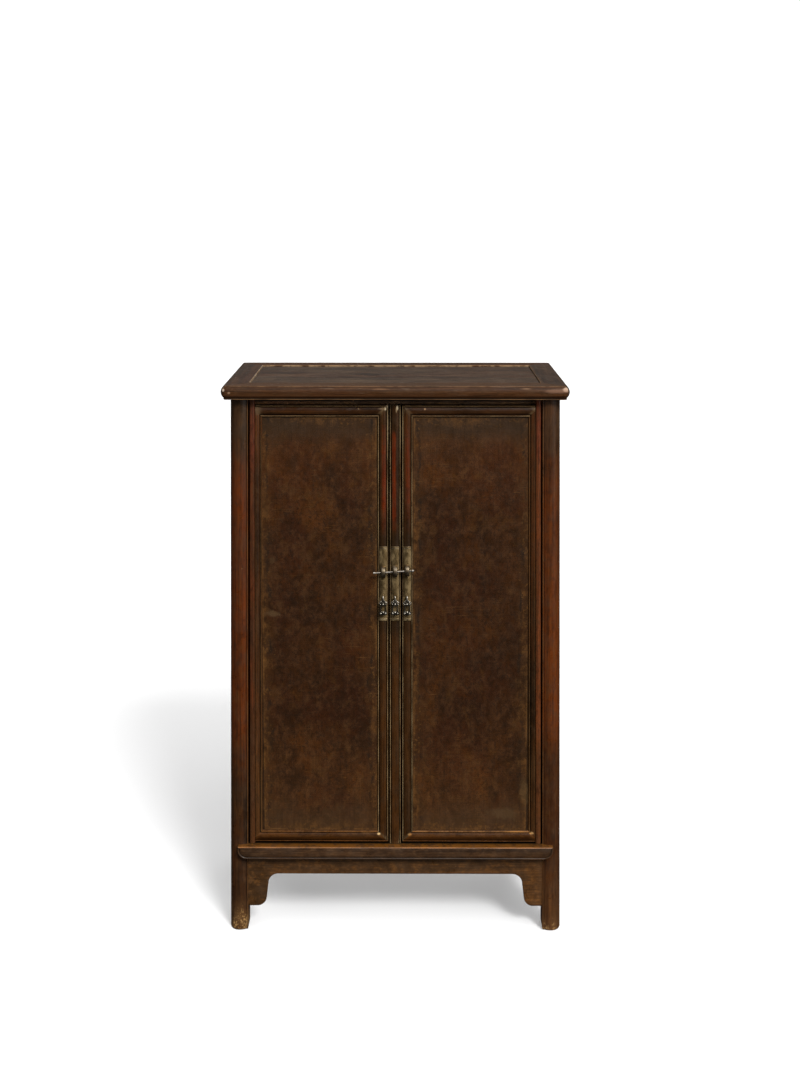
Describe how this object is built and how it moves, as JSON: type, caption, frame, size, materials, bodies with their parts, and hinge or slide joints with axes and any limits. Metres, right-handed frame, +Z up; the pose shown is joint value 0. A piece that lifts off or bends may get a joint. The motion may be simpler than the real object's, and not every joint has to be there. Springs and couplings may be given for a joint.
{
  "type": "sloping-stile cabinet",
  "caption": "Tall wood-hinged cabinet on splayed round-fronted stiles, with mitred top, panelled doors, removable-type centre stile, brass lock pin and pendant pulls.",
  "frame": {"origin": "on the floor, under the middle of the cabinet's box", "axes": "+X to the cabinet's right as seen from the front, front faces -Y, +Z up"},
  "size_m": [0.72, 0.4, 1.185],
  "materials": {
    "frame_wood": "dark reddish-brown hardwood, old lacquer worn to bare wood on the arrises",
    "top_wood": "greyed brown hardwood, horizontal grain, satin",
    "panel_lacquer": "mottled dark brown lacquered panel, satin",
    "inside_wood": "unlacquered softwood, matt",
    "aged_brass": "aged grey-yellow brass, dull with bright worn spots"
  },
  "bodies": {
    "carcase": {"apron_back": "frame_wood", "apron_front": "frame_wood", "apron_left": "frame_wood", "apron_right": "frame_wood", "back_centre_stile": "frame_wood", "back_panel_left": "panel_lacquer", "back_panel_right": "panel_lacquer", "centre_lock_eye": "aged_brass", "centre_lock_plate": "aged_brass", "centre_pull_staple": "aged_brass", "centre_stile": "frame_wood", "floor_board": "inside_wood", "leg_back_left": "frame_wood", "leg_back_right": "frame_wood", "leg_front_left": "frame_wood", "leg_front_right": "frame_wood", "lower_rail_back": "frame_wood", "lower_rail_left": "frame_wood", "lower_rail_right": "frame_wood", "shelf": "inside_wood", "shelf_bearer_left": "inside_wood", "shelf_bearer_right": "inside_wood", "side_panel_left": "panel_lacquer", "side_panel_right": "panel_lacquer", "sill_front": "frame_wood", "top_back_rail": "top_wood", "top_batten": "inside_wood", "top_front_rail": "top_wood", "top_left_rail": "top_wood", "top_panel": "top_wood", "top_right_rail": "top_wood", "upper_rail_back": "frame_wood", "upper_rail_front": "frame_wood", "upper_rail_left": "frame_wood", "upper_rail_right": "frame_wood"},
    "left_door": {"left_door_bottom_rail": "frame_wood", "left_door_hinge_stile": "frame_wood", "left_door_lower_batten": "inside_wood", "left_door_meeting_stile": "frame_wood", "left_door_panel": "panel_lacquer", "left_door_top_rail": "frame_wood", "left_door_upper_batten": "inside_wood", "left_lock_eye": "aged_brass", "left_lock_plate": "aged_brass", "left_pull_staple": "aged_brass"},
    "right_door": {"right_door_bottom_rail": "frame_wood", "right_door_hinge_stile": "frame_wood", "right_door_lower_batten": "inside_wood", "right_door_meeting_stile": "frame_wood", "right_door_panel": "panel_lacquer", "right_door_top_rail": "frame_wood", "right_door_upper_batten": "inside_wood", "right_lock_eye": "aged_brass", "right_lock_plate": "aged_brass", "right_pull_staple": "aged_brass"},
    "left_pull": {"left_pull": "aged_brass"},
    "centre_pull": {"centre_pull": "aged_brass"},
    "right_pull": {"right_pull": "aged_brass"},
    "lock_pin": {"lock_pin": "aged_brass"}
  },
  "joints": [
    {"name": "left_door_hinge", "type": "hinge", "parent": "carcase", "child": "left_door", "pos_m": [-0.30146, -0.17335, 0.66], "axis": [-0.01, -0.0058, -0.9999], "range_deg": [0, 100]},
    {"name": "right_door_hinge", "type": "hinge", "parent": "carcase", "child": "right_door", "pos_m": [0.30146, -0.17335, 0.66], "axis": [-0.01, 0.0058, 0.9999], "range_deg": [0, 100]},
    {"name": "left_pull_swing", "type": "hinge", "parent": "left_door", "child": "left_pull", "pos_m": [-0.02512, -0.18411, 0.7302], "axis": [-1, 0, 0], "range_deg": [0, 100]},
    {"name": "centre_pull_swing", "type": "hinge", "parent": "carcase", "child": "centre_pull", "pos_m": [0, -0.18411, 0.7302], "axis": [-1, 0, 0], "range_deg": [0, 100]},
    {"name": "right_pull_swing", "type": "hinge", "parent": "right_door", "child": "right_pull", "pos_m": [0.02512, -0.18411, 0.7302], "axis": [-1, 0, 0], "range_deg": [0, 100]},
    {"name": "lock_pin_slide", "type": "slide", "parent": "carcase", "child": "lock_pin", "axis": [0.9982, 0, 0.0601], "range_m": [0, 0.09]}
  ]
}
